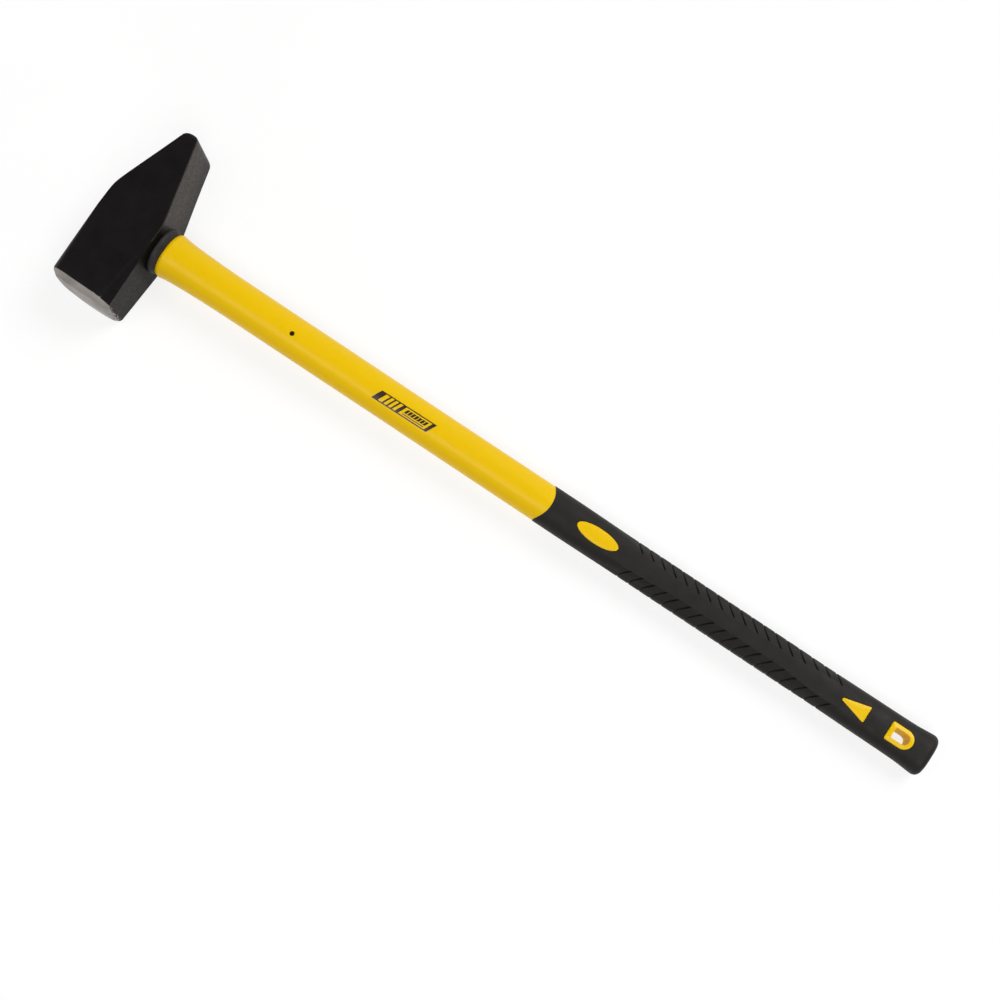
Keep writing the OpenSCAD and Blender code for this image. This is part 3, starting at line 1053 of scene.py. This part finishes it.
def label_print():
    """Generic print: two rules, upright stripes, a row of plain blocks and a thin rule below it.

    Each piece is (from, to, bottom, top) in shares of the label's length and height.
    """
    low, high = 0.1, 0.9
    rules = [(0.0, 1.0, 0.0, low), (0.0, 1.0, high, 1.0)]
    stripes = [(0.0, 0.10), (0.94, 1.0), (0.17, 0.20), (0.25, 0.28), (0.33, 0.36), (0.41, 0.47)]
    row_start, row_stop, pitch, block = 0.52, 0.90, 0.056, 0.042
    starts = [row_start + pitch * k for k in range(7)]
    blocks = [(start, start + block, 0.38, 0.78) for start in starts]
    thin_rule = (row_start, row_stop, 0.2, 0.27)
    return rules + [(start, stop, low, high) for start, stop in stripes] + blocks + [thin_rule]


def label_patch(u0, u1, v0, v1, low, high):
    """Closed thin patch on the shaft between shares of the label's length and height."""
    columns, rows = 24, 4
    u, v = np.meshgrid(np.linspace(u0, u1, columns + 1), np.linspace(v0, v1, rows + 1), indexing="ij")
    along = (u - 0.5) * LABEL_L + (v - 0.5) * LABEL_SLANT
    across = (v - 0.5) * LABEL_H
    x = LABEL_X + along * math.cos(LABEL_TURN) - across * math.sin(LABEL_TURN)
    y = LABEL_Y + along * math.sin(LABEL_TURN) + across * math.cos(LABEL_TURN)
    z = AXIS_Z + surface_height(shaft_size, x, y)
    points = np.concatenate([np.stack([x, y, z + lift], axis=-1).reshape(-1, 3) for lift in (high, low)])
    count = u.size
    faces = []
    for a, b, c, d in grid_faces(columns, rows):
        faces += [(a, b, c, d), (a + count, d + count, c + count, b + count)]
    index = np.arange(count).reshape(u.shape)
    sides = (index[:, 0], index[-1, 1:], index[-2::-1, -1], index[0, -2:0:-1])
    border = np.concatenate(sides).tolist()
    for a, b in zip(border, border[1:] + border[:1]):
        faces.append((a, a + count, b + count, b))
    return points, faces


def build_label():
    """Clear-backed film with a plain printed pattern and no lettering."""
    film = new_object("label_film", *label_patch(*FILM_SHARES, *FILM_LAYER), FILM)
    points, faces = [], []
    for part in label_print():
        more_points, more_faces = label_patch(*part, *PRINT_LAYER)
        start = sum(len(p) for p in points)
        points.append(more_points)
        faces += [tuple(start + i for i in face) for face in more_faces]
    ink = new_object("label_print", np.concatenate(points), faces, INK)
    show(film, "label_film", "shaft_decal")
    show(ink, "label_film")


build_head()
build_collar()
build_jacket()
build_grip()
build_label()
for node, material in (("eye_resin", RESIN), ("fibreglass_core", FIBREGLASS)):
    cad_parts[node].data.materials.clear()
    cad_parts[node].data.materials.append(material)


# ---- floor, light and camera

CAMERA_AT = Vector((0.6167, -0.2249, 1.4541))
LOOK_AT = Vector((0.4295, -0.0196, 0.032))
HANDLE_SLOPE = math.radians(33.65)    # how far the handle falls to the right in the picture
LENS = 57.68
OBJECT_MIDDLE = (0.42, 0, 0)
GRIP_TOUCH = 8.0           # how far before its end the grip touches the floor, in millimetres


def build_camera():
    """Camera above the hammer, turned so that the handle runs down to the right."""
    data = bpy.data.cameras.new("camera")
    data.lens = LENS
    data.sensor_width = 36.0
    camera = add_object("camera", data)
    back = (CAMERA_AT - LOOK_AT).normalized()
    along = Vector((1, 0, 0)) - back * back.x
    along.normalize()
    above = back.cross(along)
    right = along * math.cos(HANDLE_SLOPE) + above * math.sin(HANDLE_SLOPE)
    up = back.cross(right)
    turn = Matrix((right, up, back)).transposed().to_4x4()
    camera.matrix_world = Matrix.Translation(CAMERA_AT) @ turn
    bpy.context.scene.camera = camera


def build_floor():
    """Large pale floor that the head's cheek edge and the grip end both touch."""
    tilt = math.atan(grip_lo[2] / (END_X - GRIP_TOUCH - HALF_W))
    size, steps = 6.0, 12
    line = np.linspace(-size / 2, size / 2, steps + 1)
    points = [(x, y, 0.0) for x in line for y in line]
    floor = new_object("floor", np.array(points) / MM, grid_faces(steps, steps))
    floor.matrix_world = Matrix.Translation((HALF_W * MM, 0, 0)) @ Matrix.Rotation(-tilt, 4, "Y")
    # It glows like a light table, which keeps the ground around the hammer white
    glow = {"Emission_Color": (1, 1, 1, 1), "Emission_Strength": 0.78}
    material, tree = new_material("floor_light_table", Roughness=0.9, Specular_IOR_Level=0.0, **glow)
    connect(material, Base_Color=mottle(tree, 3, 2, 0.21, 0.23))
    floor.data.materials.append(material)


def add_light(name, at, aim, size, power):
    """Rectangular soft light aimed at a point."""
    data = bpy.data.lights.new(name, "AREA")
    data.shape = "RECTANGLE"
    data.size, data.size_y = size
    data.energy = power
    light = add_object(name, data)
    light.location = at
    light.rotation_euler = (Vector(aim) - Vector(at)).to_track_quat("-Z", "Y").to_euler()


def build_light():
    """Bright surroundings near the horizon, a dark roof, and soft lamps above and beside."""
    world = bpy.data.worlds.new("studio")
    bpy.context.scene.world = world
    world.use_nodes = True
    tree = world.node_tree
    direction = add_node(tree, "TexCoord").outputs["Generated"]
    parts = add_node(tree, "SeparateXYZ", [("Vector", direction)])
    height = ramp(tree, parts.outputs["Z"], [(0.0, 1.0), (0.3, 0.75), (0.65, 0.28), (0.9, 0.1), (1.0, 0.1)])
    along = ramp(tree, parts.outputs["X"], [(0.2, 1.0), (0.8, 0.15)])
    across = ramp(tree, parts.outputs["Y"], [(0.0, (0.6, 0.56, 0.52)), (0.35, (1, 1, 1))])
    tone = multiply_colour(tree, multiply_colour(tree, height, along), across)
    tree.links.new(tone, tree.nodes["Background"].inputs["Color"])
    tree.nodes["Background"].inputs["Strength"].default_value = 1.0
    add_light("top", (2.31, 2.97, 4.09), OBJECT_MIDDLE, (2.6, 2.6), 156)
    add_light("fill", (2.85, -2.43, 4.16), OBJECT_MIDDLE, (2.2, 2.2), 72)
    add_light("key", (1.9, 3.75, 2.95), OBJECT_MIDDLE, (3.0, 2.4), 22)
    add_light("strip", (0.25, -0.62, 1.8), (0.25, 0.0, 0.0), (2.6, 0.55), 13)


build_camera()
build_floor()
build_light()
bpy.context.scene.view_settings.view_transform = "Standard"
